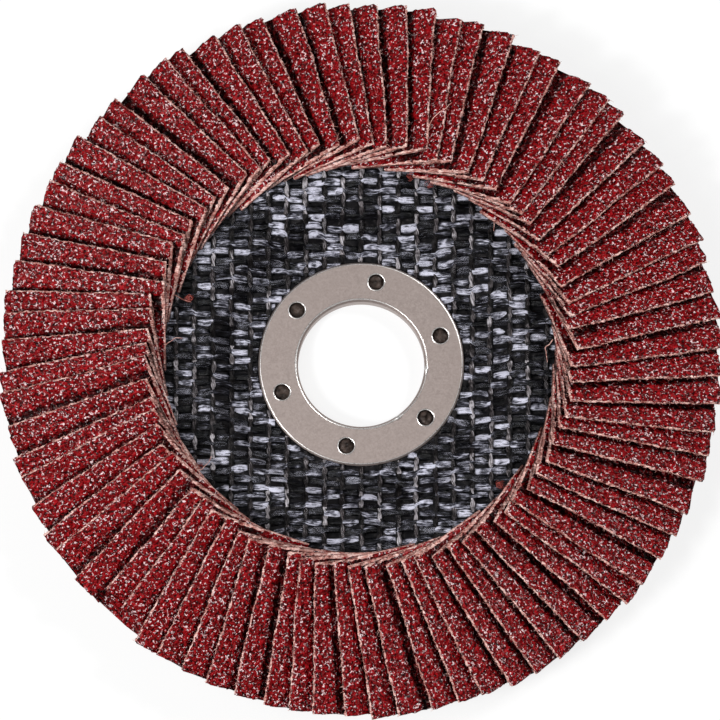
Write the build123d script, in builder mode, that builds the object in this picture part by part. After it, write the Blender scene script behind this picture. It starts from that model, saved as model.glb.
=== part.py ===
import os
from math import asin, atan2, cos, hypot, radians, sin, sqrt, tan

from build123d import *

os.makedirs("parts", exist_ok=True)

# Conical flap disc for a 125 mm angle grinder, lying on the back of its hub with the grit up.
# Millimetres. The origin is on the bore's axis at the hub's back face, +Z towards the grit side,
# and seen from there the flaps' open edges face clockwise.

# Centre ring
bore_diameter = 22.23
collar_wall = 0.7
flange_diameter = 36.1
flange_thickness = 0.8
flange_edge_bevel = 0.3
bore_lip_bevel = 0.45
key_hole_count = 6
key_hole_diameter = 2.9
key_circle_share = 0.53  # of the way from the bore to the flange's edge
key_hole_start = 19.8  # degrees from +X

# Backing plate, a moulded fibreglass dish of one thickness
plate_thickness = 2.8
hub_floor_diameter = 45.6
dish_diameter = 54.0
dish_depth = 4.4
land_diameter = 70.0  # flat land round the dish, where the cone starts
cone_angle = 11.0
flap_overhang = 8.0  # the flaps reach this far past the plate's rim
rim_edge_bevel = 0.5
collar_clearance = 0.05

# Woven face of the plate: warp threads run along Y and stand proud, and the weft dips between
# them at every second crossing
warp_pitch = 3.25
warp_width = 0.9
warp_height = 0.35
weft_dip_pitch = 3.1
weft_dip_width = 2.0
weft_dip_length = 1.3
weft_dip_depth = 0.45
weave_flange_gap = 0.4
weave_adhesive_gap = 0.1

# Adhesive ring under the flaps
adhesive_inner_diameter = 70.2
adhesive_plate_margin = 3.0
adhesive_bed = 0.55
adhesive_rise = 3.2

# Flaps
disc_diameter = 125.0
flap_count = 80
flap_width = 16.0
flap_thickness = 0.9
flap_gap = 0.03
flap_corner_diameter = 72.4
open_edge_offset = 8.0
inner_end_slant = 1.8  # the buried inner corner lies this much further in than the open one
# Flaps are set by machine and by hand, so none stands quite true
side_wander = 0.8
inner_end_wander = 0.5
outer_end_wander = 0.6
skew_wander = 1.3
inner_circle_shift = 0.3  # the circle of inner corners lies this far off the axis, towards -X
worn_flaps = {48: 2.5, 49: 2.6}  # flap index: length that is broken off at the rim

bore_radius = bore_diameter / 2
disc_radius = disc_diameter / 2
plate_radius = disc_radius - flap_overhang
collar_radius = bore_radius + collar_wall
hub_floor_radius = hub_floor_diameter / 2
dish_radius = dish_diameter / 2
land_radius = land_diameter / 2
flange_radius = flange_diameter / 2
key_circle_radius = bore_radius + key_circle_share * (flange_radius - bore_radius)
adhesive_inner_radius = adhesive_inner_diameter / 2
adhesive_outer_radius = plate_radius - adhesive_plate_margin
weave_inner_radius = flange_radius + weave_flange_gap
weave_outer_radius = adhesive_inner_radius - weave_adhesive_gap
flap_pitch = 360 / flap_count
cone_fall = tan(radians(cone_angle))


def face_height(radius):
    # height of the plate's front face: hub floor, wall of the dish, flat land, falling cone
    if radius <= hub_floor_radius:
        return plate_thickness
    if radius <= dish_radius:
        share = (radius - hub_floor_radius) / (dish_radius - hub_floor_radius)
        return plate_thickness + share * dish_depth
    return plate_thickness + dish_depth - max(0, radius - land_radius) * cone_fall


# Centre ring: a stamped steel flange on the hub floor with a collar that lines the bore
with BuildPart() as centre_ring:
    with BuildSketch(Plane.XZ) as ring_section:
        with BuildLine():
            Polyline(
                (bore_radius, 0),
                (collar_radius, 0),
                (collar_radius, plate_thickness),
                (flange_radius, plate_thickness),
                (flange_radius, plate_thickness + flange_thickness),
                (bore_radius, plate_thickness + flange_thickness),
                close=True,
            )
        make_face()
        top_corners = ring_section.vertices().group_by(Axis.Y)[-1].sort_by(Axis.X)
        chamfer(top_corners[0], length=bore_lip_bevel)
        chamfer(ring_section.vertices().group_by(Axis.X)[-1].sort_by(Axis.Y)[-1], length=flange_edge_bevel)
    revolve(axis=Axis.Z)
    with Locations(Plane.XY.offset(plate_thickness + flange_thickness)):
        with PolarLocations(key_circle_radius, key_hole_count, start_angle=key_hole_start):
            Hole(radius=key_hole_diameter / 2, depth=flange_thickness)

# Backing plate without its weave: the dish's front line thickened towards the back
with BuildPart() as plain_plate:
    with BuildSketch(Plane.XZ) as plate_section:
        with BuildLine():
            Polyline(
                (collar_radius + collar_clearance, plate_thickness),
                (hub_floor_radius, plate_thickness),
                (dish_radius, face_height(dish_radius)),
                (land_radius, face_height(land_radius)),
                (plate_radius, face_height(plate_radius)),
            )
            offset(amount=plate_thickness, side=Side.RIGHT, kind=Kind.INTERSECTION)
        make_face()
        chamfer(plate_section.vertices().sort_by(Axis.X)[-2:], length=rim_edge_bevel)
    revolve(axis=Axis.Z)

# Warp threads: strips of the plate's own face, lifted by their height
warp_count = 2 * int((weave_outer_radius - warp_width) / warp_pitch) + 1
with BuildPart() as warp_threads:
    with BuildSketch() as warp_plan:
        with GridLocations(warp_pitch, 1, warp_count, 1):
            Rectangle(warp_width, 2 * weave_outer_radius)
        Circle(weave_outer_radius, mode=Mode.INTERSECT)
        Circle(weave_inner_radius, mode=Mode.SUBTRACT)
    extrude(amount=plate_thickness + dish_depth + warp_height)
    add(plain_plate.part.moved(Location((0, 0, warp_height))), mode=Mode.INTERSECT)

# Dips of the weft, on the hub floor and on the land, where the cloth lies flat
dip_places = []
dip_reach = hypot(weft_dip_width, weft_dip_length) / 2
row_limit = int(weave_outer_radius / weft_dip_pitch)
column_limit = int(weave_outer_radius / warp_pitch) + 1
for row in range(-row_limit, row_limit + 1):
    for column in range(-column_limit, column_limit):
        across, along = (column + 0.5) * warp_pitch, row * weft_dip_pitch
        nearest, furthest = hypot(across, along) - dip_reach, hypot(across, along) + dip_reach
        on_floor = weave_inner_radius < nearest and furthest < hub_floor_radius
        on_land = dish_radius < nearest and furthest < weave_outer_radius
        if (row + column) % 2 == 0 and (on_floor or on_land):
            dip_places.append((across, along, face_height(nearest)))

with BuildPart() as backing_plate:
    add(plain_plate.part)
    add(warp_threads.part)
    with Locations(*dip_places):
        Box(weft_dip_width, weft_dip_length, 2 * weft_dip_depth, mode=Mode.SUBTRACT)


# The flaps lie like shingles. Every flap's plane is the next one's turned by one pitch, and the
# tilt is the one at which a flap just clears its neighbour at its buried inner corner.
def wander(index, first, second):
    # an even, unrepeating scatter between -1 and 1
    return 0.55 * sin(first * index) + 0.45 * sin(second * index + first)


def side_shift(index):
    return side_wander * wander(index, 1.9, 5.3)


def skew(index):
    return skew_wander * wander(index, 2.3, 4.1)


def inner_corner_radius(index):
    turn = radians(index * flap_pitch)
    even = flap_corner_diameter / 2 - inner_circle_shift * sin(turn)
    return even + inner_end_wander * wander(index, 2.7, 4.7)


def outer_corner_radius(index):
    trim = outer_end_wander * (1 + wander(index, 1.3, 3.7)) / 2
    return disc_radius - trim - worn_flaps.get(index, 0)


def along_flap(corner_radius, corner_offset):
    # distance along the flap's centreline to a corner of that radius
    return sqrt(corner_radius**2 - corner_offset**2)


def tilt_to_clear():
    # the turn by one pitch lifts a flap's plane off the next one by rise * sin(tilt - lean)
    pitch = radians(flap_pitch)
    smallest_radius = flap_corner_diameter / 2 - inner_circle_shift - inner_end_wander
    near = along_flap(smallest_radius, open_edge_offset + side_wander)
    near -= flap_width * sin(radians(skew_wander)) + inner_end_slant
    buried = flap_width - open_edge_offset + side_wander
    lift = near * sin(pitch) - buried * (1 - cos(pitch))
    fall = sin(radians(cone_angle)) * (near * (1 - cos(pitch)) + buried * sin(pitch))
    return atan2(fall, lift) + asin((flap_thickness + flap_gap) / hypot(lift, fall))


flap_tilt = tilt_to_clear()
buried_edge_offset = open_edge_offset - flap_width * cos(flap_tilt)


def flap_plane(index):
    # plane of a flap's underside: its origin is the buried inner corner, X runs across the
    # flap to its open edge and Y outwards
    turn, lean = radians(index * flap_pitch), radians(cone_angle)
    radial = Vector(sin(turn), cos(turn), 0)
    clockwise = Vector(cos(turn), -sin(turn), 0)
    outwards = radial * cos(lean) - Vector(0, 0, sin(lean))
    off_cone = radial * sin(lean) + Vector(0, 0, cos(lean))
    across = clockwise * cos(flap_tilt) + off_cone * sin(flap_tilt)
    square_to_flap = off_cone * cos(flap_tilt) - clockwise * sin(flap_tilt)
    start = along_flap(inner_corner_radius(index), open_edge_offset)
    height = face_height(start) + adhesive_bed
    corner = radial * start + clockwise * buried_edge_offset + Vector(0, 0, height)
    corner += across * side_shift(index)
    turned = radians(skew(index))
    across = across * cos(turned) + outwards * sin(turned)
    return Plane(origin=corner, x_dir=across, z_dir=square_to_flap)


def flap_length(index):
    start = along_flap(inner_corner_radius(index), open_edge_offset)
    end = along_flap(outer_corner_radius(index), open_edge_offset)
    return (end - start) / cos(radians(cone_angle))


# Adhesive ring: cured resin on the plate's cone, with a sloped seat under each flap
with BuildPart() as adhesive_ring:
    with BuildSketch(Plane.XZ):
        with BuildLine():
            inner_height = face_height(adhesive_inner_radius)
            outer_height = face_height(adhesive_outer_radius)
            Polyline(
                (adhesive_inner_radius, inner_height),
                (adhesive_outer_radius, outer_height),
                (adhesive_outer_radius, outer_height + adhesive_rise),
                (adhesive_inner_radius, inner_height + adhesive_rise),
                close=True,
            )
        make_face()
    revolve(axis=Axis.Z)
    for index in range(flap_count):
        with BuildSketch(flap_plane(index)):
            Rectangle(flap_width, 2 * disc_radius, align=(Align.MIN, Align.CENTER))
        extrude(amount=2 * adhesive_rise, mode=Mode.SUBTRACT)

# Flaps of coated cloth, two neighbours to a file
flap_pairs = []
for pair_index in range(flap_count // 2):
    with BuildPart() as flap_pair:
        for index in (2 * pair_index, 2 * pair_index + 1):
            length = flap_length(index)
            with BuildSketch(flap_plane(index)):
                with BuildLine():
                    Polyline((0, -inner_end_slant), (flap_width, 0), (flap_width, length), (0, length), close=True)
                make_face()
            extrude(amount=flap_thickness)
    flap_pair.part.label = f"flap_pair_{pair_index + 1:02d}"
    flap_pairs.append(flap_pair.part)

centre_ring.part.label = "centre_ring"
backing_plate.part.label = "backing_plate"
adhesive_ring.part.label = "adhesive_ring"
for piece in (centre_ring.part, backing_plate.part, adhesive_ring.part, *flap_pairs):
    export_step(piece, f"parts/{piece.label}.step")
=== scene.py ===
import math

import bpy
import numpy as np
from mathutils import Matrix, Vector


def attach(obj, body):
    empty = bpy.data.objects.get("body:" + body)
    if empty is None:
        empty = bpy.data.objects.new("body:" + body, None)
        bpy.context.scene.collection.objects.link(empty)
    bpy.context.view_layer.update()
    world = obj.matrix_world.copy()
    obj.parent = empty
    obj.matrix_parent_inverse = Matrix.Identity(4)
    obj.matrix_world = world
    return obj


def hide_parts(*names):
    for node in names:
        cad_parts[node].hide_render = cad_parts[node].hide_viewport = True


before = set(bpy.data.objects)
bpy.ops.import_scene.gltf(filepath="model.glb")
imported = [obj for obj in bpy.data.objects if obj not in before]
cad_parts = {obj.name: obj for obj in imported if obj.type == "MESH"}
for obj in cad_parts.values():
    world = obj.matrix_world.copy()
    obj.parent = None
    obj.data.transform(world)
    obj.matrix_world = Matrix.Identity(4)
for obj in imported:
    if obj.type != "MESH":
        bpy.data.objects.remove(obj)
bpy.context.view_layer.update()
mm = 0.001
print("frame loaded:", len(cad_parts), "nodes")

scene = bpy.context.scene
scene.view_settings.view_transform = "Standard"


# Meshes from arrays

def gridFaces(rows, columns, wrapRows=False, wrapColumns=False):
    # quads of a grid whose point in row r and column c has the number r * columns + c; a wrapped
    # direction runs on from its last line to its first
    r, c = np.meshgrid(
        np.arange(rows if wrapRows else rows - 1),
        np.arange(columns if wrapColumns else columns - 1),
        indexing="ij",
    )
    below, after = (r + 1) % rows, (c + 1) % columns
    corners = [r * columns + c, r * columns + after, below * columns + after, below * columns + c]
    return np.stack(corners, axis=-1).reshape(-1, 4)


def addPiece(name, points, faceSets, material, attributes=None):
    # points are metres; each face set is an array of point numbers, all its faces with as many corners
    mesh = bpy.data.meshes.new(name)
    mesh.vertices.add(len(points))
    mesh.vertices.foreach_set("co", np.ascontiguousarray(points, np.float32).ravel())
    corners = np.concatenate([faces.ravel() for faces in faceSets]).astype(np.int32)
    sizes = np.concatenate([np.full(len(faces), faces.shape[1]) for faces in faceSets])
    starts = np.concatenate([[0], np.cumsum(sizes)[:-1]]).astype(np.int32)
    mesh.loops.add(len(corners))
    mesh.loops.foreach_set("vertex_index", corners)
    mesh.polygons.add(len(sizes))
    mesh.polygons.foreach_set("loop_start", starts)
    mesh.update(calc_edges=True)
    mesh.polygons.foreach_set("use_smooth", np.full(len(sizes), True))
    for key, values in (attributes or {}).items():
        layer = mesh.attributes.new(key, "FLOAT_VECTOR", "POINT")
        layer.data.foreach_set("vector", np.ascontiguousarray(values, np.float32).ravel())
    mesh.materials.append(material)
    piece = bpy.data.objects.new(name, mesh)
    scene.collection.objects.link(piece)
    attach(piece, "root")
    return piece


def unit(vectors):
    return vectors / np.linalg.norm(vectors, axis=-1, keepdims=True)


def fullTurn(count):
    # angles spread evenly round a circle
    return np.linspace(0, 2 * math.pi, count, endpoint=False)


def insideOut(points, quads):
    # a closed shape's volume is a sixth of the sum of its triangles' triple products; below 0 it is
    # inside out
    a, b, c, d = (points[quads[:, corner]] for corner in range(4))
    return (np.einsum("ij,ij->i", a, np.cross(b, c)) + np.einsum("ij,ij->i", a, np.cross(c, d))).sum() < 0


def closedTubes(rings):
    # rings is tubes x stations x points round x 3; each tube's skin is a grid, closed at both ends by a
    # fan of triangles to the middle of its last ring
    tubes, stations, around, _ = rings.shape
    middles = rings[:, [0, -1]].mean(axis=2)
    points = np.concatenate([rings.reshape(tubes, -1, 3), middles], axis=1)
    quads = gridFaces(stations, around, wrapColumns=True)
    here = np.arange(around)
    after = (here + 1) % around
    last = (stations - 1) * around
    fans = np.concatenate([
        np.stack([after, here, np.full(around, stations * around)], axis=1),
        np.stack([here + last, after + last, np.full(around, stations * around + 1)], axis=1),
    ])
    if insideOut(points[0], quads):
        quads, fans = quads[:, ::-1], fans[:, ::-1]
    step = (np.arange(tubes) * points.shape[1])[:, None, None]
    return points.reshape(-1, 3), [(quads + step).reshape(-1, 4), (fans + step).reshape(-1, 3)]


def triangleCount(faceSets):
    quads, fans = faceSets
    return 2 * len(quads) + len(fans)


# Seeded scatter for patterns in the meshes. Each pattern below has a seed of its own

scatterWave = dict(x=127.1, y=311.7, seed=74.7, height=43758.5453)
facet = dict(margin=0.15, room=0.7, unevenness=1.4, least=0.25, rise=0.75, slope=0.9, fall=0.75)


def scatter(x, y, seed):
    # an even, repeatable value from 0 to 1 for each pair of whole numbers: the fraction of a large sine
    angle = x * scatterWave["x"] + y * scatterWave["y"] + seed * scatterWave["seed"]
    value = np.sin(angle) * scatterWave["height"]
    return value - np.floor(value)


def smoothNoise(x, y, seed):
    # value noise: the scatter at the four whole corners round a point, blended by 3t^2 - 2t^3
    left, low = np.floor(x), np.floor(y)
    u, v = x - left, y - low
    u, v = u * u * (3 - 2 * u), v * v * (3 - 2 * v)
    near = scatter(left, low, seed) * (1 - u) + scatter(left + 1, low, seed) * u
    far = scatter(left, low + 1, seed) * (1 - u) + scatter(left + 1, low + 1, seed) * u
    return near * (1 - v) + far * v


def grains(x, y, size, seed):
    # facets round the nearest of the jittered cell centres: each grain has its own height and slope, and
    # falls away from its centre by the square of the distance; gives the height from 0 to 1
    cellX, cellY = np.floor(x / size), np.floor(y / size)
    best = np.full(np.broadcast(x, y).shape, np.inf)
    height = np.zeros_like(best)
    for stepX in (-1, 0, 1):
        for stepY in (-1, 0, 1):
            i, j = cellX + stepX, cellY + stepY
            dx = x / size - (i + facet["margin"] + facet["room"] * scatter(i, j, seed))
            dy = y / size - (j + facet["margin"] + facet["room"] * scatter(i, j, seed + 1))
            away = dx * dx + dy * dy
            own = scatter(i, j, seed + 2) ** facet["unevenness"]
            slopeX, slopeY = scatter(i, j, seed + 3) - 0.5, scatter(i, j, seed + 4) - 0.5
            sloped = facet["slope"] * (dx * slopeX + dy * slopeY)
            level = facet["least"] + facet["rise"] * own + sloped - facet["fall"] * away
            nearer = away < best
            best = np.where(nearer, away, best)
            height = np.where(nearer, level, height)
    return np.clip(height, 0, 1)


# Node helpers

def newMaterial(name):
    material = bpy.data.materials.new(name)
    material.use_nodes = True
    return material, material.node_tree, material.node_tree.nodes["Principled BSDF"]


def addNode(tree, kind, inputs=None, **settings):
    node = tree.nodes.new(kind)
    for key, value in settings.items():
        setattr(node, key, value)
    for key, value in (inputs or {}).items():
        if isinstance(value, bpy.types.NodeSocket):
            tree.links.new(value, node.inputs[key])
        else:
            node.inputs[key].default_value = value
    return node


def calc(tree, operation, a, b=0.0, clamp=False):
    return addNode(tree, "ShaderNodeMath", {0: a, 1: b}, operation=operation, use_clamp=clamp).outputs[0]


def rampOf(tree, value, stops):
    # stops are pairs of place and linear colour or grey
    node = addNode(tree, "ShaderNodeValToRGB", {0: value})
    elements = node.color_ramp.elements
    while len(elements) < len(stops):
        elements.new(0.5)
    for element, (place, colour) in zip(elements, stops):
        element.position = place
        element.color = (*colour, 1) if isinstance(colour, tuple) else (colour, colour, colour, 1)
    return node.outputs[0]


def mixOf(tree, share, a, b, blend="MIX"):
    # for colours, the Mix node's inputs are 0, 6 and 7 and its output is 2
    node = addNode(tree, "ShaderNodeMix", data_type="RGBA", blend_type=blend)
    for socket, value in zip((node.inputs[0], node.inputs[6], node.inputs[7]), (share, a, b)):
        if isinstance(value, bpy.types.NodeSocket):
            tree.links.new(value, socket)
        else:
            socket.default_value = (*value, 1) if isinstance(value, tuple) else value
    return node.outputs[2]


def noiseOf(tree, vector, scale, detail=2.0, roughness=0.5):
    inputs = {"Vector": vector, "Scale": scale, "Detail": detail, "Roughness": roughness}
    return addNode(tree, "ShaderNodeTexNoise", inputs).outputs["Fac"]


def mapped(tree, vector, scale=(1, 1, 1), turn=(0, 0, 0)):
    inputs = {"Vector": vector, "Scale": scale, "Rotation": turn}
    return addNode(tree, "ShaderNodeMapping", inputs).outputs[0]


def placeOf(tree):
    # place on the object in millimetres
    return mapped(tree, addNode(tree, "ShaderNodeTexCoord").outputs["Object"], (1 / mm, 1 / mm, 1 / mm))


def setColour(tree, shader, colour, roughness):
    tree.links.new(colour, shader.inputs["Base Color"])
    tree.links.new(roughness, shader.inputs["Roughness"])


def setBump(tree, shader, height, strength, depth):
    # depth is millimetres
    bump = addNode(tree, "ShaderNodeBump", {"Height": height, "Strength": strength, "Distance": mm * depth})
    tree.links.new(bump.outputs[0], shader.inputs["Normal"])


def newGroup(name, inputs, outputs):
    # a shared effect: inputs are name to default, a vector where the default is None, and outputs are
    # masks
    group = bpy.data.node_groups.new(name, "ShaderNodeTree")
    for label, value in inputs.items():
        kind = "NodeSocketVector" if value is None else "NodeSocketFloat"
        socket = group.interface.new_socket(name=label, in_out="INPUT", socket_type=kind)
        if value is not None:
            socket.default_value = value
    for label in outputs:
        group.interface.new_socket(name=label, in_out="OUTPUT", socket_type="NodeSocketFloat")
    return group, group.nodes.new("NodeGroupInput").outputs, group.nodes.new("NodeGroupOutput").inputs


def useGroup(tree, group, **inputs):
    return addNode(tree, "ShaderNodeGroup", inputs, node_tree=group).outputs


def makePaintedGlintLines():
    # thin curved lines, where a noise passes through its middle value; they mask painted glints, a painted
    # highlight
    group, given, taken = newGroup("paintedGlintLines", dict(Vector=None, Scale=1.5, Width=0.04), ["Mask"])
    level = noiseOf(group, given["Vector"], given["Scale"], 1.0)
    away = calc(group, "ABSOLUTE", calc(group, "SUBTRACT", level, 0.5))
    line = calc(group, "SUBTRACT", 1.0, calc(group, "DIVIDE", away, given["Width"]), clamp=True)
    group.links.new(line, taken["Mask"])
    return group


def makeFibreStreaks():
    # fibres along the vector's first direction, with bare and glazed patches between them
    group, given, taken = newGroup("fibreStreaks", dict(Vector=None, Fineness=1.0), ["Mask", "Height"])
    streaks = noiseOf(group, mapped(group, given["Vector"], (0.6, 3.6, 1.0)), given["Fineness"], 4.0, 0.62)
    patches = noiseOf(group, mapped(group, given["Vector"], (0.6, 0.5, 1.3)), 1.0, 2.0, 0.6)
    mask = calc(group, "ADD", calc(group, "MULTIPLY", streaks, 0.6), calc(group, "MULTIPLY", patches, 0.4))
    group.links.new(mask, taken["Mask"])
    group.links.new(streaks, taken["Height"])
    return group


def makeFineSpeckle():
    # even fine grain
    group, given, taken = newGroup("fineSpeckle", dict(Vector=None, Scale=4.0), ["Mask"])
    group.links.new(noiseOf(group, given["Vector"], given["Scale"], 3.0, 0.7), taken["Mask"])
    return group


paintedGlintLines, fibreStreaks, fineSpeckle = makePaintedGlintLines(), makeFibreStreaks(), makeFineSpeckle()
print("node groups made")


# Camera, tilted back from straight above. Metres and degrees, but the sensor is in millimetres

camera = dict(
    tilt=8.8,
    distance=2.5,
    aim=(-0.00021, -0.00014, 0.009),
    width=0.1263,
    sensor=36,
    near=0.05,
    far=60,
)

cameraData = bpy.data.cameras.new("camera")
cameraObject = bpy.data.objects.new("camera", cameraData)
scene.collection.objects.link(cameraObject)
scene.camera = cameraObject
tilt = math.radians(camera["tilt"])
cameraBack = Vector((0, -math.sin(tilt), math.cos(tilt)))
cameraObject.location = Vector(camera["aim"]) + cameraBack * camera["distance"]
cameraObject.rotation_euler = (tilt, 0, 0)
cameraData.sensor_width = camera["sensor"]
cameraData.lens = camera["sensor"] * camera["distance"] / camera["width"]
cameraData.clip_start, cameraData.clip_end = camera["near"], camera["far"]


# Light and floor: two lamps face each other across the disc, and a small one stands high over it

light = dict(
    world=0.12,
    lamps=dict(
        keyLamp=dict(azimuth=212, elevation=46, distance=0.9, size=0.22, watts=6.9),
        fillLamp=dict(azimuth=32, elevation=44, distance=1.0, size=0.24, watts=6.0),
        topLamp=dict(azimuth=205, elevation=68, distance=0.42, size=0.14, watts=0.34),
    ),
)
ground = dict(reach=12, drop=0.0002, grey=0.9, glow=0.78)

world = bpy.data.worlds.new("studio")
scene.world = world
world.use_nodes = True
world.node_tree.nodes["Background"].inputs["Color"].default_value = (1, 1, 1, 1)
world.node_tree.nodes["Background"].inputs["Strength"].default_value = light["world"]


def addLamp(name, azimuth, elevation, distance, size, watts):
    # a square lamp that looks at the object from an azimuth, counted from +X towards +Y
    a, e = math.radians(azimuth), math.radians(elevation)
    data = bpy.data.lights.new(name, "AREA")
    data.size, data.energy = size, watts
    lamp = bpy.data.objects.new(name, data)
    scene.collection.objects.link(lamp)
    direction = Vector((math.cos(a) * math.cos(e), math.sin(a) * math.cos(e), math.sin(e)))
    lamp.location = direction * distance
    lamp.rotation_mode = "QUATERNION"
    lamp.rotation_quaternion = direction.to_track_quat("Z", "Y")


for lampName, lampPlace in light["lamps"].items():
    addLamp(lampName, **lampPlace)


def floorMaterial():
    # pale ground that glows where it is seen, so that shadows on it stay faint
    material, tree, shader = newMaterial("paleFloor")
    shader.inputs["Base Color"].default_value = (ground["grey"], ground["grey"], ground["grey"], 1)
    shader.inputs["Roughness"].default_value = 0.9
    ray = addNode(tree, "ShaderNodeLightPath")
    seen = calc(tree, "ADD", ray.outputs["Is Camera Ray"], ray.outputs["Is Glossy Ray"], clamp=True)
    seen = calc(tree, "ADD", seen, ray.outputs["Is Transmission Ray"], clamp=True)
    share = calc(tree, "MULTIPLY", seen, ground["glow"])
    glow = addNode(tree, "ShaderNodeEmission", {"Color": (1, 1, 1, 1), "Strength": 1.0})
    blend = addNode(tree, "ShaderNodeMixShader", {0: share, 1: shader.outputs[0], 2: glow.outputs[0]})
    tree.links.new(blend.outputs[0], tree.nodes["Material Output"].inputs["Surface"])
    return material


floorData = bpy.data.meshes.new("floor")
cornerSigns = ((-1, -1), (1, -1), (1, 1), (-1, 1))
floorCorners = [(x * ground["reach"], y * ground["reach"], -ground["drop"]) for x, y in cornerSigns]
floorData.from_pydata(floorCorners, [], [(0, 1, 2, 3)])
floor = bpy.data.objects.new("floor", floorData)
scene.collection.objects.link(floor)
floorData.materials.append(floorMaterial())
print("camera, light and floor set")


# Flaps of coated cloth, in millimetres

flap = dict(
    count=80,
    stations=106,
    gritWidth=6.1,  # width of the strip with grains, beside the open edge
    gritPoints=27,
    innerRadius=36.2,  # radius at the inner ends
    showing=0.0868,  # share of the radius that the next flap leaves uncovered
    grainSize=0.6,
    grainDepth=0.40,
    clumpSize=1.3,
    clumpDepth=0.16,
    sunk=0.30,  # the strip lies this deep where it is covered
    swell=0.42,  # and swells by this much where it shows
    swellStart=0.1,
    swellRun=1.2,
    cloth=0.13,  # width of the bare cloth along the open edge
    shoulder=0.2,  # fall of the grit beside it
    shoulderRun=0.35,
    edgeLow=0.36,
    edgeHigh=0.5,
    edgeProfile=((-0.05, 1.0), (0.04, 0.6), (-0.03, 0.1)),  # distance past the edge, share of its height
    fringe=0.22,
    fringeSizes=(0.5, 0.17),  # of its threads and of their fibres, along the edge
    bow=0.4,
    bowLengths=(9, 3.7),
    bareEnd=0.4,  # length without grit at the inner end
    bareDepth=0.3,
    endZone=0.02,  # share of the length in which each end is ragged
    innerRagged=0.3,
    outerRagged=0.5,
    outerTrim=0.3,
    raggedSize=0.4,
)


def readFlaps(node):
    # a node's two flaps: corners that share a triangle are one flap's, and the box's axes are the
    # directions of its corners' spread, from the thinnest to the longest
    mesh = node.data
    co = np.empty(len(mesh.vertices) * 3, np.float32)
    mesh.vertices.foreach_get("co", co)
    corners, own = np.unique(co.reshape(-1, 3).astype(float).round(7), axis=0, return_inverse=True)
    used = np.empty(len(mesh.loops), np.int32)
    mesh.loops.foreach_get("vertex_index", used)
    triangles = own.ravel()[used].reshape(-1, 3)
    linked = np.eye(len(corners))
    for k in range(3):
        linked[triangles[:, k], triangles[:, (k + 1) % 3]] = 1
        linked[triangles[:, (k + 1) % 3], triangles[:, k]] = 1
    for _ in range(4):  # each product doubles how many edges a link may cross
        linked = np.minimum(linked @ linked, 1)
    found = []
    for mine in (linked[0] > 0, linked[0] == 0):
        box = corners[mine]
        middle = box.mean(axis=0)
        spread, axes = np.linalg.eigh(np.cov((box - middle).T, bias=True))
        normal = axes[:, 0] * np.sign(axes[2, 0])
        thickness = 2 * math.sqrt(spread[0])
        under = box[(box - middle) @ normal < 0]
        under = under[np.argsort(np.hypot(under[:, 0], under[:, 1]))]
        ends = []
        for end in (under[:2], under[2:]):  # of an end's two corners, the open one is further clockwise
            clockwise = end[0, 0] * end[1, 1] - end[0, 1] * end[1, 0] < 0
            ends.append(end if clockwise else end[::-1])
        (buried, inner), (_, outer) = ends
        outwards = (outer - inner) / np.linalg.norm(outer - inner)
        across = np.cross(outwards, normal)
        width, slant = (inner - buried) @ across, (inner - buried) @ outwards
        bearing = math.degrees(math.atan2(outwards[0], outwards[1]))
        found.append(dict(
            origin=buried + outwards * slant,
            across=across,
            outwards=outwards,
            normal=normal,
            width=width / mm,
            length=(outer - inner) @ outwards / mm,
            slant=slant / mm,
            thickness=thickness / mm,
            number=round(bearing / (360 / flap["count"])) % flap["count"],
        ))
    return found


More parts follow.
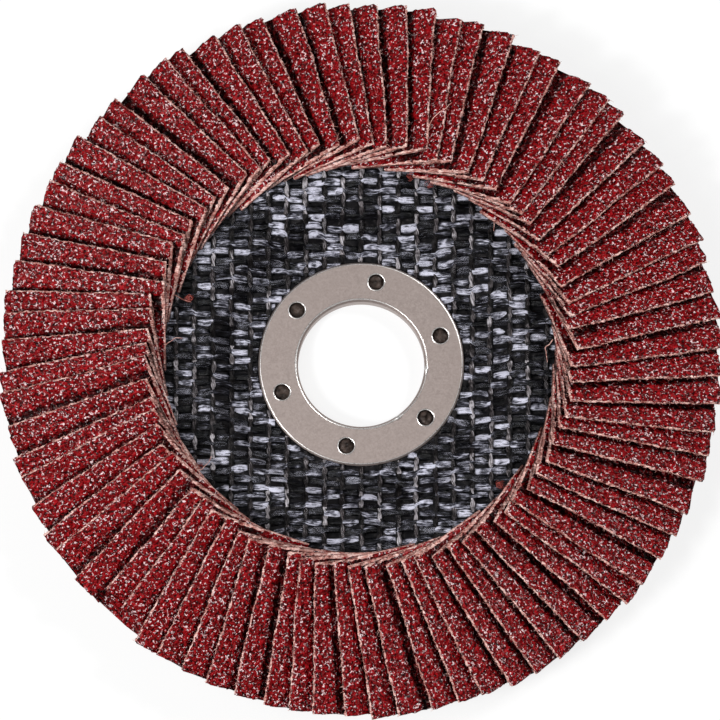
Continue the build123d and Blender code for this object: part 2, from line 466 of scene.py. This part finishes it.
def flapRings(one):
    # the profile runs round the flap's section: underside, buried side, flat top, gritty strip and open
    # edge. It is carried from the slanted inner end to the rim. The strip lies deepest where the next flap
    # covers it and swells towards its open edge, grains lower it, and the open side bows in a slow wave
    # and is ragged in a fast one
    width, length, thickness, seed = one["width"], one["length"], one["thickness"], one["number"] * 7.0
    underside = [(width - 0.25, 0), (width * 0.66, 0), (width * 0.33, 0), (0.05, 0)]
    buriedSide = [(0, thickness * 0.3), (0.04, thickness * 0.8)]
    flatTop = [(width * 0.2, thickness - 0.05), (width * 0.4, thickness - 0.05)]
    plain = np.array(underside + buriedSide + flatTop)
    strip = np.linspace(width - flap["gritWidth"], width - flap["cloth"], flap["gritPoints"])
    edge = np.array(flap["edgeProfile"])
    profileX = np.concatenate([plain[:, 0], strip, width + edge[:, 0]])
    profileZ = np.concatenate([plain[:, 1], np.full(len(strip), thickness), 0 * edge[:, 1]])
    last = len(plain) + len(strip) - 1
    grit, top = slice(len(plain), last + 1), slice(len(underside + buriedSide), last + 1)

    x, share = np.meshgrid(profileX, np.linspace(0, 1, flap["stations"]))
    start = -one["slant"] * (1 - x / width)
    y = start + share * (length - start)
    z = np.tile(profileZ, (len(x), 1))

    gritX, gritY = x[:, grit], y[:, grit]
    covered = width - flap["showing"] * (flap["innerRadius"] + gritY)
    swell = np.clip((gritX - covered - flap["swellStart"]) / flap["swellRun"], 0, 1)
    swell = flap["swell"] * swell * swell * (3 - 2 * swell)
    shoulder = 1 - np.clip((width - flap["cloth"] - gritX) / flap["shoulderRun"], 0, 1)
    rounded = flap["shoulder"] * shoulder ** 2
    height = grains(gritX, gritY, flap["grainSize"], seed)
    clumps = smoothNoise(gritX / flap["clumpSize"], gritY / flap["clumpSize"], seed + 9)
    z[:, grit] += (
        swell - flap["sunk"] - rounded - flap["grainDepth"] * (1 - height) - flap["clumpDepth"] * clumps
    )

    fromInner = y - start
    ragged = smoothNoise(x / flap["raggedSize"], y * 0, seed + 31) - 0.5
    bareEnd = np.clip(1 - (fromInner - flap["innerRagged"] * ragged) / flap["bareEnd"], 0, 1)
    z[:, top] -= (flap["bareDepth"] * bareEnd)[:, top]
    z[:, last] = np.maximum(z[:, last], flap["edgeLow"])
    z[:, last + 1:] = np.minimum(z[:, last, None] * 0.9, flap["edgeHigh"]) * edge[:, 1]

    threads, fibres = (
        smoothNoise(x * 0, y / size, seed + 20 + k) for k, size in enumerate(flap["fringeSizes"])
    )
    fringe = threads - 0.5 + 0.8 * (fibres - 0.5)
    x[:, last:] += flap["fringe"] * fringe[:, last:]
    slow, quick = (smoothNoise(y * 0, y / size, seed + 40 + k) for k, size in enumerate(flap["bowLengths"]))
    bow = flap["bow"] * (slow - 0.5 + 0.5 * (quick - 0.5)) * np.clip(x / width, 0, 1) ** 2
    outerRagged = smoothNoise(x / flap["raggedSize"], y * 0, seed + 50) - 0.5 - flap["outerTrim"]
    y = y + np.where(share > 1 - flap["endZone"], flap["outerRagged"], 0.0) * outerRagged
    y = y + np.where(share < flap["endZone"], flap["innerRagged"], 0.0) * ragged
    place = np.stack([x, fromInner, z], axis=-1)
    x = x + bow
    shape = x[..., None] * one["across"] + y[..., None] * one["outwards"] + z[..., None] * one["normal"]
    return one["origin"] + mm * shape, place


def clothColours(tree, vector):
    # bare cotton, brownish pink, with lighter threads
    fibres = useGroup(tree, fibreStreaks, Vector=vector, Fineness=1.6)
    stops = [(0.38, (0.20, 0.040, 0.032)), (0.48, (0.54, 0.245, 0.21)), (0.60, (0.94, 0.68, 0.62))]
    return rampOf(tree, fibres["Mask"], stops)


gritLook = dict(
    grainScale=1.7,
    lumpScale=2.1,
    reds=[(0.0, (0.15, 0.0008, 0.002)), (0.6, (0.23, 0.0016, 0.004)), (1.0, (0.34, 0.005, 0.009))],
    # colour of the painted glints, a painted highlight
    paintedGlint=(0.98, 0.78, 0.80),
    clothHeight=0.50,  # the open edge is bare cloth up to this height
    clothWander=1.3,
    edgeStart=15.8,  # place across the flap where its open edge starts
    clothEnd=0.24,  # and the inner end is bare for this length
    endWander=0.8,
    endZone=0.55,
    underside=0.012,
)


def gritMaterial():
    # red grains with painted shade where they lie deep, painted highlights as pale curled glints on them, and
    # bare cloth at the edges.
    # flapPlace holds the place across the flap, the distance from its inner end and the height
    material, tree, shader = newMaterial("gritCloth")
    local = addNode(tree, "ShaderNodeAttribute", attribute_name="flapPlace").outputs["Vector"]
    x, y, z = addNode(tree, "ShaderNodeSeparateXYZ", {0: local}).outputs
    place = placeOf(tree)

    # each grain has its own red; painted shade darkens it where it lies deep and in the low patches of the
    # lumps, which the bump also lowers
    cellInputs = {"Vector": place, "Scale": gritLook["grainScale"], "Randomness": 0.95}
    cells = addNode(tree, "ShaderNodeTexVoronoi", cellInputs, feature="F1")
    own = addNode(tree, "ShaderNodeSeparateColor", {0: cells.outputs["Color"]}).outputs
    lumps = noiseOf(tree, place, gritLook["lumpScale"], 1.0)
    paintedDeepShade = rampOf(tree, z, [(0.20, 0.06), (0.46, 0.5), (0.70, 1.0)])
    paintedShade = calc(tree, "MULTIPLY", paintedDeepShade, rampOf(tree, lumps, [(0.34, 0.10), (0.52, 1.0)]))
    red = mixOf(tree, 1.0, rampOf(tree, own[0], gritLook["reds"]), paintedShade, "MULTIPLY")

    # painted highlights: short curled glints, curved lines that a second noise breaks up, kept to the grit's
    # high parts
    paintedGlintCurls = useGroup(tree, paintedGlintLines, Vector=place, Scale=1.6, Width=0.07)["Mask"]
    breaks = noiseOf(tree, mapped(tree, place, turn=(0.4, 0.9, 0.2)), 1.9, 1.0)
    pale = calc(tree, "MULTIPLY", paintedGlintCurls, rampOf(tree, breaks, [(0.55, 0.0), (0.61, 1.0)]))
    pale = calc(tree, "MULTIPLY", pale, rampOf(tree, z, [(0.30, 0.0), (0.52, 1.0)]))
    red = mixOf(tree, pale, red, gritLook["paintedGlint"])

    # bare cloth on the lower part of the open edge and at the inner end
    wander = calc(tree, "SUBTRACT", noiseOf(tree, place, 1.0, 3.0, 0.6), 0.5)
    lowLine = calc(tree, "ADD", z, calc(tree, "MULTIPLY", wander, gritLook["clothWander"]))
    endLine = calc(tree, "ADD", y, calc(tree, "MULTIPLY", wander, gritLook["endWander"]))
    low = calc(tree, "LESS_THAN", lowLine, gritLook["clothHeight"])
    end = calc(tree, "LESS_THAN", endLine, gritLook["clothEnd"])
    edgeZone = calc(tree, "GREATER_THAN", x, gritLook["edgeStart"])
    endZone = calc(tree, "LESS_THAN", y, gritLook["endZone"])
    bare = calc(tree, "MULTIPLY", calc(tree, "MAXIMUM", low, end), calc(tree, "MAXIMUM", edgeZone, endZone))
    spilt = rampOf(tree, noiseOf(tree, place, 1.5, 2.0), [(0.55, 1.0), (0.60, 0.25)])
    bare = calc(tree, "MULTIPLY", bare, calc(tree, "MAXIMUM", spilt, endZone))
    colour = mixOf(tree, bare, red, clothColours(tree, place))

    # woven back of the cloth
    weaveInputs = {"Vector": local, "Scale": 2.2, "Distortion": 0.6}
    woven = addNode(tree, "ShaderNodeTexMagic", weaveInputs, turbulence_depth=1)
    back = rampOf(tree, woven.outputs["Fac"], [(0.3, (0.11, 0.035, 0.028)), (0.7, (0.30, 0.13, 0.10))])
    under = calc(tree, "LESS_THAN", z, gritLook["underside"])
    dull = calc(tree, "MAXIMUM", bare, under)
    gloss = rampOf(tree, own[1], [(0.0, 0.22), (1.0, 0.5)])
    setColour(tree, shader, mixOf(tree, under, colour, back), mixOf(tree, dull, gloss, (0.85, 0.85, 0.85)))
    domes = calc(tree, "MULTIPLY", cells.outputs["Distance"], -0.6)
    setBump(tree, shader, calc(tree, "ADD", domes, calc(tree, "MULTIPLY", lumps, 2.0)), 1.0, 0.3)
    shader.inputs["Specular IOR Level"].default_value = 0.10
    shader.inputs["Coat Weight"].default_value = 0.08
    shader.inputs["Coat Roughness"].default_value = 0.16
    return material


grit = gritMaterial()
flaps = []
for nodeName in sorted(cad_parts):
    if nodeName.startswith("flap_pair_"):
        pair = readFlaps(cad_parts[nodeName])
        rings, places = zip(*[flapRings(one) for one in pair])
        points, faceSets = closedTubes(np.stack(rings))
        places = np.stack(places)
        middles = places[:, [0, -1]].mean(axis=2)
        places = np.concatenate([places.reshape(len(pair), -1, 3), middles], axis=1).reshape(-1, 3)
        pieceName = "gritFlaps_" + nodeName[-2:]
        piece = addPiece(pieceName, points, faceSets, grit, {"flapPlace": places})
        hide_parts(nodeName)
        flaps += pair
print("flaps:", len(flaps))


# Frayed cotton along the flaps' edges

fray = dict(openEdge=38, innerEnd=12, shortest=0.22, longest=0.85, radius=0.045, stations=3, sides=3)


def fibreTubes(base, direction, bend, length):
    # a fibre leaves its base along its direction and bends by the square of the way along it; its
    # radius falls evenly to about a third
    t = np.linspace(0, 1, fray["stations"])[None, :, None]
    line = base[:, None] + mm * length[:, None, None] * (direction[:, None] * t + bend[:, None] * t * t)
    u = unit(np.cross(direction, bend + np.array([0.01, 0.02, 0.03])))
    v = np.cross(direction, u)
    turn = fullTurn(fray["sides"])[None, None, :, None]
    thick = mm * fray["radius"] * (1 - 0.65 * t)[..., None]
    return line[:, :, None] + thick * (np.cos(turn) * u[:, None, None] + np.sin(turn) * v[:, None, None])


def frayedEdges():
    # fibres at scattered places along each flap's open edge, and others at its inner end. Each leans
    # sideways and up or down by scattered shares, and most are short: the length goes by a share's cube
    origin, across, outwards, normal = (
        np.stack([one[key] for one in flaps])[:, None] for key in ("origin", "across", "outwards", "normal")
    )
    width, length = (np.array([one[key] for one in flaps])[:, None, None] for key in ("width", "length"))
    number = np.arange(len(flaps))[:, None]
    kinds = []
    for seed, count, atEnd in ((60, fray["openEdge"], False), (80, fray["innerEnd"], True)):
        index = np.arange(count)[None, :]
        pick = [scatter(number + 0 * index, index + 0 * number, seed + k)[..., None] for k in range(6)]
        if atEnd:
            side, along = width * (0.75 + 0.25 * pick[0]), 0 * pick[0]
            main, other = -outwards, across
        else:
            side, along = width + 0 * pick[0] - 0.08, pick[0] * length
            main, other = across, outwards
        base = origin + mm * (side * across + along * outwards + (0.1 + 0.45 * pick[1]) * normal)
        direction = unit(main + 2.4 * (pick[2] - 0.5) * other + 0.9 * (pick[3] - 0.6) * normal)
        bend = 0.9 * (pick[4] - 0.5) * other + 0.25 * (pick[3] - 0.8) * normal
        reach = fray["shortest"] + (fray["longest"] - fray["shortest"]) * pick[5][..., 0] ** 3
        kinds.append([value.reshape(-1, *value.shape[2:]) for value in (base, direction, bend, reach)])
    return closedTubes(fibreTubes(*(np.concatenate(values) for values in zip(*kinds))))


def cottonMaterial(name, tint):
    material, tree, shader = newMaterial(name)
    place = placeOf(tree)
    colour = mixOf(tree, 1.0, clothColours(tree, place), tint, "MULTIPLY")
    tree.links.new(colour, shader.inputs["Base Color"])
    setBump(tree, shader, useGroup(tree, fineSpeckle, Vector=place, Scale=6.0)["Mask"], 0.5, 0.05)
    shader.inputs["Roughness"].default_value = 0.8
    return material


cotton = cottonMaterial("paleCotton", (1.0, 0.93, 0.9))
redCotton = cottonMaterial("redCotton", (0.62, 0.17, 0.14))
points, faceSets = frayedEdges()
addPiece("frayedCotton", points, faceSets, cotton)
print("frayed edges:", triangleCount(faceSets), "triangles")


# Loose threads, each from where it is held to its free end, and small tufts

thread = dict(radius=0.11, sides=6, stations=26, wave=0.56, dip=0.25, thinning=0.45)
tuft = dict(radius=0.035, sides=3, stations=9, fibres=15, size=0.75)
looseThreads = [  # start, end, sideways bow; millimetres
    ((-34.6, 13.9, 9.2), (-29.8, 10.4, 8.1), 0.9),
    ((-35.2, 0.9, 8.9), (-31.4, 4.0, 8.2), -0.8),
    ((-30.0, -20.0, 8.9), (-26.1, -17.3, 8.1), 0.5),
    ((3.4, -34.0, 9.0), (8.9, -32.0, 8.3), 0.8),
    ((21.2, 28.3, 8.9), (23.2, 22.9, 8.1), -0.7),
    ((33.4, 3.6, 8.8), (32.5, -0.4, 8.2), 0.6),
    ((11.5, 38.7, 15.3), (16.1, 44.6, 14.3), -1.0),
]
tufts = [(-30.2, 10.9, 8.2), (12.0, 31.0, 8.4), (8.6, 32.6, 8.6), (24.4, -22.3, 8.6), (-28.6, -18.9, 8.4)]


def threadLine(start, end, bow, seed):
    # a straight run from start to end, pushed sideways by a sine's half wave and by a smaller noise,
    # and up and down by another noise
    t = np.linspace(0, 1, thread["stations"])[:, None]
    start, end = np.array(start), np.array(end)
    sideways = unit(np.cross(end - start, [0, 0, 1.0]))
    side = bow * np.sin(math.pi * t) + thread["wave"] * (smoothNoise(t * 5, t * 0, seed) - 0.5)
    lift = thread["dip"] * (smoothNoise(t * 4, t * 0, seed + 1) - 0.5)
    return start + (end - start) * t + sideways * side + [0, 0, 1] * lift


def threadTubes(lines, radius, sides):
    # a round section carried along each line, square to it, that thins towards the free end
    along = unit(np.gradient(lines, axis=1))
    u = unit(np.cross(along, [0.0, 0.0, 1.0]))
    v = np.cross(along, u)
    turn = fullTurn(sides)[None, None, :, None]
    thick = radius * np.linspace(1, thread["thinning"], lines.shape[1])[None, :, None, None]
    return mm * (lines[:, :, None] + thick * (np.cos(turn) * u[:, :, None] + np.sin(turn) * v[:, :, None]))


def tuftLines(centre, seed):
    # curled fibres: each is a circle's arc of its own size and turn round a scattered middle
    k = np.arange(tuft["fibres"])[:, None]
    t = np.linspace(0, 1, tuft["stations"])[None, :]
    pick = [scatter(k, 0 * k, seed + n) for n in range(7)]
    size = tuft["size"] * (0.25 + 0.5 * pick[0])
    turn = 2 * math.pi * pick[1] + (2 + 2.5 * pick[2]) * t
    x = tuft["size"] * (pick[3] - 0.5) + size * np.cos(turn)
    y = tuft["size"] * (pick[4] - 0.5) + size * np.sin(turn)
    z = 0.5 * pick[5] + 0.5 * (t - 0.5) * (pick[6] - 0.5)
    return np.array(centre) + np.stack([x, y, z], axis=-1)


lines = np.stack([threadLine(*run, 90 + number) for number, run in enumerate(looseThreads)])
points, faceSets = closedTubes(threadTubes(lines, thread["radius"], thread["sides"]))
addPiece("looseThreads", points, faceSets, cotton)
lines = np.concatenate([tuftLines(centre, 120 + 9 * number) for number, centre in enumerate(tufts)])
points, faceSets = closedTubes(threadTubes(lines, tuft["radius"], tuft["sides"]))
addPiece("redTufts", points, faceSets, redCotton)
print("loose threads:", len(looseThreads), "tufts:", len(tufts))


# Woven face of the backing plate: flat weft tapes along X, and pairs of thin warp threads along Y

plate = dict(floorRadius=22.8, floorHeight=2.8, dishRadius=27.0, landHeight=7.2)
weave = dict(
    innerRadius=18.2,
    outerRadius=35.3,
    leastGap=0.2,  # a strand is cut in two where the steel ring takes more than this of each half
    leastReach=1,
    step=0.31,  # distance between a strand's sections
    domePoints=6,
    domeBase=0.3,
    roughness=0.06,
    buried=0.3,  # the strands' flat undersides lie this deep in the plate
    crossing=0.2,  # strands rise and dip by this much where they cross
    weftPitch=1.55,
    weftCount=46,
    weftWidth=1.42,
    weftDome=0.34,
    parting=0.24,  # sideways, over the plate's dips
    warpPitch=3.25,
    warpCount=21,
    warpWidth=0.56,
    warpDome=0.30,
    twist=0.18,
    twistPitch=3.1,
)


def faceHeight(r):
    # height of the plate's face in millimetres: floor, straight wall of the dish, flat land
    radii, heights = (plate["floorRadius"], plate["dishRadius"]), (plate["floorHeight"], plate["landHeight"])
    return np.interp(r, radii, heights)


def chords(pitch, count):
    # evenly spaced lines. Each crosses the ring-shaped cloth in one run, or in two where the steel ring
    # is in its way; gives offset, start and end
    offsets = (np.arange(count) - (count - 1) / 2) * pitch
    outer = np.sqrt(np.maximum(weave["outerRadius"] ** 2 - offsets ** 2, 0))
    inner = np.sqrt(np.maximum(weave["innerRadius"] ** 2 - offsets ** 2, 0))
    runs = []
    for offset, far, near in zip(offsets, outer, inner):
        if near > weave["leastGap"]:
            runs += [(offset, -far, -near), (offset, near, far)]
        elif far > weave["leastReach"]:
            runs.append((offset, -far, far))
    return runs


def strandSkin(runs, alongX, centreLine, seed):
    # a strand's section is a flat-bottomed dome on the plate's face; centreLine gives its sideways shift,
    # height, half width, dome height and roll at each distance along it. The places are the distance
    # along, the place across from -1 to 1, and the strand's own number
    allPoints, allFaces, allPlaces, count = [], [[], []], [], 0
    turn = np.linspace(0, math.pi, weave["domePoints"])
    domeX, domeZ = -np.cos(turn), np.sin(turn) ** 0.5
    for offset, start, end in runs:
        stations = max(4, int((end - start) / weave["step"]))
        s = np.linspace(start, end, stations)[:, None]
        own = seed + offset * 3.1
        shift, rise, half, dome, roll = centreLine(s, offset, own)
        side = offset + shift + half * domeX
        base = faceHeight(np.hypot(s, side))
        uneven = weave["roughness"] * (smoothNoise(s / 0.8, side / 0.22, own + 2) - 0.5)
        top = base + rise + dome * (domeZ - weave["domeBase"]) + roll * domeX + uneven
        first = np.broadcast_to(s, top.shape)
        upper = np.stack([first, side, top], axis=-1)
        under = np.stack([first[:, :2], side[:, [-1, 0]], base[:, [-1, 0]] - weave["buried"]], axis=-1)
        section = np.concatenate([upper, under], axis=1)
        across = np.broadcast_to(np.concatenate([domeX, [1.0, -1.0]]), section.shape[:2])
        x, y = (section[..., 0], section[..., 1]) if alongX else (section[..., 1], section[..., 0])
        points, faces = closedTubes(mm * np.stack([x, y, section[..., 2]], axis=-1)[None])
        place = [np.broadcast_to(s, across.shape), across, np.full(across.shape, own)]
        place = np.stack(place, axis=-1).reshape(-1, 3)
        allPlaces.append(np.concatenate([place, place[[0, -1]]]))
        allPoints.append(points)
        for kept, new in zip(allFaces, faces):
            kept.append(new + count)
        count += len(points)
    return np.concatenate(allPoints), [np.concatenate(faces) for faces in allFaces], np.concatenate(allPlaces)


def weftLine(s, offset, own):
    # a flat tape that goes over and under the warps by a cosine, swells between them by a power of a
    # sine, and parts from its neighbour over every second cell, where the plate has a dip. Every swell
    # has its own width, place, height and roll
    number = round(offset / weave["weftPitch"] - 0.5)
    side, row = (1, number // 2) if number % 2 == 0 else (-1, (number + 1) // 2)
    cell = np.floor(s / weave["warpPitch"])
    swell = np.abs(np.sin(math.pi * s / weave["warpPitch"])) ** 0.4
    width, place, height, roll = (scatter(cell, offset * 7.3 + 0 * cell, k) - 0.5 for k in (11, 12, 13, 14))
    parted = np.where(np.mod(row + cell, 2) == 0, weave["parting"], -0.1) * side * swell
    half = weave["weftWidth"] / 2 * (0.72 + 0.28 * swell + 0.3 * width * swell)
    shift = 0.4 * (smoothNoise(s / 4, s * 0, own + 1) - 0.5) + 0.26 * place * swell + parted
    over = math.cos(math.pi * number) * np.cos(math.pi * s / weave["warpPitch"])
    rise = -0.05 + weave["crossing"] * over + (0.16 + 0.42 * height) * swell
    return shift, rise, half, weave["weftDome"], 0.5 * roll * swell


def warpLine(turned):
    # one of the two thin threads of a warp: they wind round each other by a sine and cosine, and go
    # under and over the tapes by a slower sine
    def line(s, offset, own):
        number = round(offset / weave["warpPitch"])
        wander = 3.0 * (smoothNoise(s / 3, s * 0, own + 4) - 0.5)
        angle = 2 * math.pi * s / weave["twistPitch"] + offset * 1.7 + turned + wander
        under = math.cos(math.pi * number) * np.sin(math.pi * s / weave["weftPitch"])
        drift = 0.4 * (smoothNoise(s / 5, s * 0, math.floor(own) + 3) - 0.5)
        shift = weave["twist"] * np.cos(angle) + drift
        rise = 0.28 + 0.12 * np.sin(angle) - weave["crossing"] * under
        half = weave["warpWidth"] / 2 * (0.7 + 0.6 * smoothNoise(s / 1.1, s * 0, own + 5))
        return shift, rise, half, weave["warpDome"], 0 * s
    return line


def tapeMaterial(name, stops, glaze):
    # black glazed glass: fibres run along the strand, patches are pale, partly bare glass and partly painted
    # sheen for reflections, and each cell between two warps is lighter or darker than the next. Painted shade
    # darkens the strand's sides towards the plate
    material, tree, shader = newMaterial(name)
    run = addNode(tree, "ShaderNodeAttribute", attribute_name="strandRun").outputs["Vector"]
    along, across, own = addNode(tree, "ShaderNodeSeparateXYZ", {0: run}).outputs
    fibres = useGroup(tree, fibreStreaks, Vector=run, Fineness=1.0)
    cell = calc(tree, "FLOOR", calc(tree, "DIVIDE", along, weave["warpPitch"]))
    cellPlace = addNode(tree, "ShaderNodeCombineXYZ", {0: cell, 1: own}).outputs[0]
    cellNoise = addNode(tree, "ShaderNodeTexWhiteNoise", {"Vector": cellPlace}, noise_dimensions="3D")
    lighter = calc(tree, "MULTIPLY", calc(tree, "SUBTRACT", cellNoise.outputs["Value"], 0.5), 0.27)
    bareAndPaintedSheen = rampOf(tree, calc(tree, "ADD", fibres["Mask"], lighter), stops)
    # painted shade: the strand's sides darken towards where they meet the plate
    paintedEdgeShade = rampOf(tree, calc(tree, "ABSOLUTE", across), [(0.62, 1.0), (0.97, 0.06)])
    roughness = rampOf(tree, fibres["Height"], [(0.3, glaze), (0.7, glaze + 0.25)])
    setColour(tree, shader, mixOf(tree, 1.0, bareAndPaintedSheen, paintedEdgeShade, "MULTIPLY"), roughness)
    setBump(tree, shader, fibres["Height"], 0.8, 0.2)
    shader.inputs["Specular IOR Level"].default_value = 0.16
    return material


# the pale top stops of both ramps are partly bare glass and partly painted sheen that stands in for
# reflections
weftStops = [
    (0.42, (0.001, 0.001, 0.0015)),
    (0.50, (0.009, 0.009, 0.012)),
    (0.56, (0.08, 0.08, 0.105)),
    (0.64, (0.60, 0.60, 0.71)),
]
warpStops = [
    (0.40, (0.002, 0.0015, 0.0015)),
    (0.50, (0.016, 0.013, 0.014)),
    (0.58, (0.11, 0.095, 0.10)),
    (0.68, (0.60, 0.57, 0.61)),
]
weftFinish = tapeMaterial("weftGlass", weftStops, 0.18)
warpFinish = tapeMaterial("warpGlass", warpStops, 0.30)
weftRuns = chords(weave["weftPitch"], weave["weftCount"])
warpRuns = chords(weave["warpPitch"], weave["warpCount"])
for name, runs, alongX, centreLine, seed, finish in (
    ("weftTapes", weftRuns, True, weftLine, 3, weftFinish),
    ("warpThreadsA", warpRuns, False, warpLine(0.0), 5, warpFinish),
    ("warpThreadsB", warpRuns, False, warpLine(math.pi), 5, warpFinish),
):
    points, faceSets, places = strandSkin(runs, alongX, centreLine, seed)
    addPiece(name, points, faceSets, finish, {"strandRun": places})
    print("weave:", name, triangleCount(faceSets), "triangles")


# Edges of the steel ring, in a brighter copy of the steel that paints a highlight on them, and the resin in
# its holes

ring = dict(
    top=3.6,
    boreLip=dict(radius=11.56, half=0.13, height=0.09, around=160, seed=5, burrs=(304.8, 355.6)),
    flangeEdge=dict(radius=17.75, half=0.09, height=0.05, around=200, seed=6),
    keyHole=dict(radius=1.5, half=0.12, height=0.10, around=40),
    keyCount=6,
    keyCircle=14.79,
    keyStart=19.8,
    beadPoints=8,
    burrHeight=2.2,
    burrWidth=0.05,  # radians
)


def turnedBead(centreX, centreY, radius, half, height, around, seed, burrs=()):
    # a thin bead on the ring's face: a half-round section carried round a circle, its width and height
    # changed a little by noise, and raised by a narrow bell curve at each burr
    a, b = np.meshgrid(fullTurn(around), fullTurn(ring["beadPoints"]), indexing="ij")
    uneven = 0.6 + 0.8 * smoothNoise(4 + 3 * np.cos(a), 4 + 3 * np.sin(a), seed)
    for place in burrs:
        uneven = uneven + ring["burrHeight"] * np.exp(-((a - math.radians(place)) / ring["burrWidth"]) ** 2)
    r = radius + half * uneven * np.cos(b)
    z = ring["top"] + height * uneven * np.maximum(np.sin(b), -0.4)
    points = mm * np.stack([centreX + r * np.cos(a), centreY + r * np.sin(a), z], axis=-1).reshape(-1, 3)
    faces = gridFaces(around, ring["beadPoints"], wrapRows=True, wrapColumns=True)
    return points, faces[:, ::-1] if insideOut(points, faces) else faces


def joined(parts):
    # point arrays end to end, with each part's face numbers moved on by the points before it
    counts = np.cumsum([0] + [len(points) for points, _ in parts])
    faces = np.concatenate([faces + count for (_, faces), count in zip(parts, counts)])
    return np.concatenate([points for points, _ in parts]), faces


def steelMaterial(name, dark, pale, rough):
    material, tree, shader = newMaterial(name)
    grain = useGroup(tree, fineSpeckle, Vector=placeOf(tree), Scale=3.2)["Mask"]
    roughness = rampOf(tree, grain, [(0.3, rough), (0.7, rough + 0.1)])
    setColour(tree, shader, rampOf(tree, grain, [(0.3, dark), (0.7, pale)]), roughness)
    setBump(tree, shader, grain, 0.25, 0.04)
    shader.inputs["Metallic"].default_value = 0.8
    return material


def ribs(tree, place, pitch):
    # a sine wave of that pitch along one direction
    return calc(tree, "SINE", calc(tree, "MULTIPLY", place, 2 * math.pi / pitch))


def resinMaterial(name, dark, pale):
    # black resin with soft lumps and thin painted glints as highlights, over the faint print of the cloth
    material, tree, shader = newMaterial(name)
    place = placeOf(tree)
    lumps = noiseOf(tree, place, 0.9, 3.0)
    paintedGlints = useGroup(tree, paintedGlintLines, Vector=place, Scale=1.1, Width=0.03)["Mask"]
    paintedGlints = calc(tree, "MULTIPLY", paintedGlints, rampOf(tree, lumps, [(0.5, 0.0), (0.65, 0.35)]))
    colour = mixOf(tree, paintedGlints, rampOf(tree, lumps, [(0.3, dark), (0.7, pale)]), (0.25, 0.23, 0.23))
    setColour(tree, shader, colour, rampOf(tree, lumps, [(0.3, 0.35), (0.7, 0.6)]))
    x, y, _ = addNode(tree, "ShaderNodeSeparateXYZ", {0: place}).outputs
    cloth = calc(tree, "MULTIPLY", ribs(tree, x, weave["warpPitch"]), ribs(tree, y, 2 * weave["weftPitch"]))
    setBump(tree, shader, calc(tree, "ADD", lumps, calc(tree, "MULTIPLY", cloth, 0.35)), 0.5, 0.2)
    shader.inputs["Specular IOR Level"].default_value = 0.09
    return material


holePlaces = []
for number in range(ring["keyCount"]):
    turn = math.radians(ring["keyStart"] + 360 * number / ring["keyCount"])
    holePlaces.append((ring["keyCircle"] * math.cos(turn), ring["keyCircle"] * math.sin(turn)))
beads = [turnedBead(0, 0, **ring["boreLip"]), turnedBead(0, 0, **ring["flangeEdge"])]
beads += [turnedBead(*hole, **ring["keyHole"], seed=10 + number) for number, hole in enumerate(holePlaces)]
points, faces = joined(beads)
# the beads take a brighter, smoother copy of the steel: a painted highlight along the ring's edges
paintedHighlightSteel = steelMaterial("paintedHighlightSteelEdge", (0.70, 0.67, 0.65), (0.88, 0.85, 0.83), 0.25)
addPiece("steelBeads", points, [faces], paintedHighlightSteel)

plug = dict(
    profile=[(1.42, 2.6), (1.42, 2.85), (1.2, 2.95), (0.9, 3.0), (0.6, 3.02), (0.3, 3.02), (0.1, 3.02)],
    wall=1.4,  # inside this radius the surface is lumpy
    lumpSize=0.45,
    lumpHeight=0.5,
    around=22,
)


def resinPlugs():
    # a rough low dome in each hole: rings of the profile's radius and height, the inner ones lifted by
    # noise, and closed at their middle
    radii, heights = np.array(plug["profile"]).T[:, None, :, None]
    turn = fullTurn(plug["around"])[None, None, :]
    middle = np.array(holePlaces)[:, :, None, None]
    x, y = middle[:, 0] + radii * np.cos(turn), middle[:, 1] + radii * np.sin(turn)
    lumps = smoothNoise(x / plug["lumpSize"], y / plug["lumpSize"], 3) - 0.4
    z = heights + np.where(radii < plug["wall"], plug["lumpHeight"], 0.0) * lumps
    return closedTubes(mm * np.stack([x, y, z], axis=-1))


points, faceSets = resinPlugs()
brownResin = resinMaterial("brownResin", (0.002, 0.0015, 0.0012), (0.07, 0.05, 0.042))
addPiece("holeResin", points, faceSets, brownResin)
print("ring's edges and resin made")


# Finishes of the parts kept from the frame

def finishNode(nodeName, material):
    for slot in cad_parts[nodeName].material_slots:
        slot.material = material


blackResin = resinMaterial("blackResin", (0.003, 0.003, 0.004), (0.012, 0.011, 0.012))
satinSteel = steelMaterial("satinSteel", (0.35, 0.288, 0.266), (0.435, 0.366, 0.34), 0.42)
finishNode("backing_plate", blackResin)
finishNode("adhesive_ring", blackResin)
finishNode("centre_ring", satinSteel)
print("finishes set")
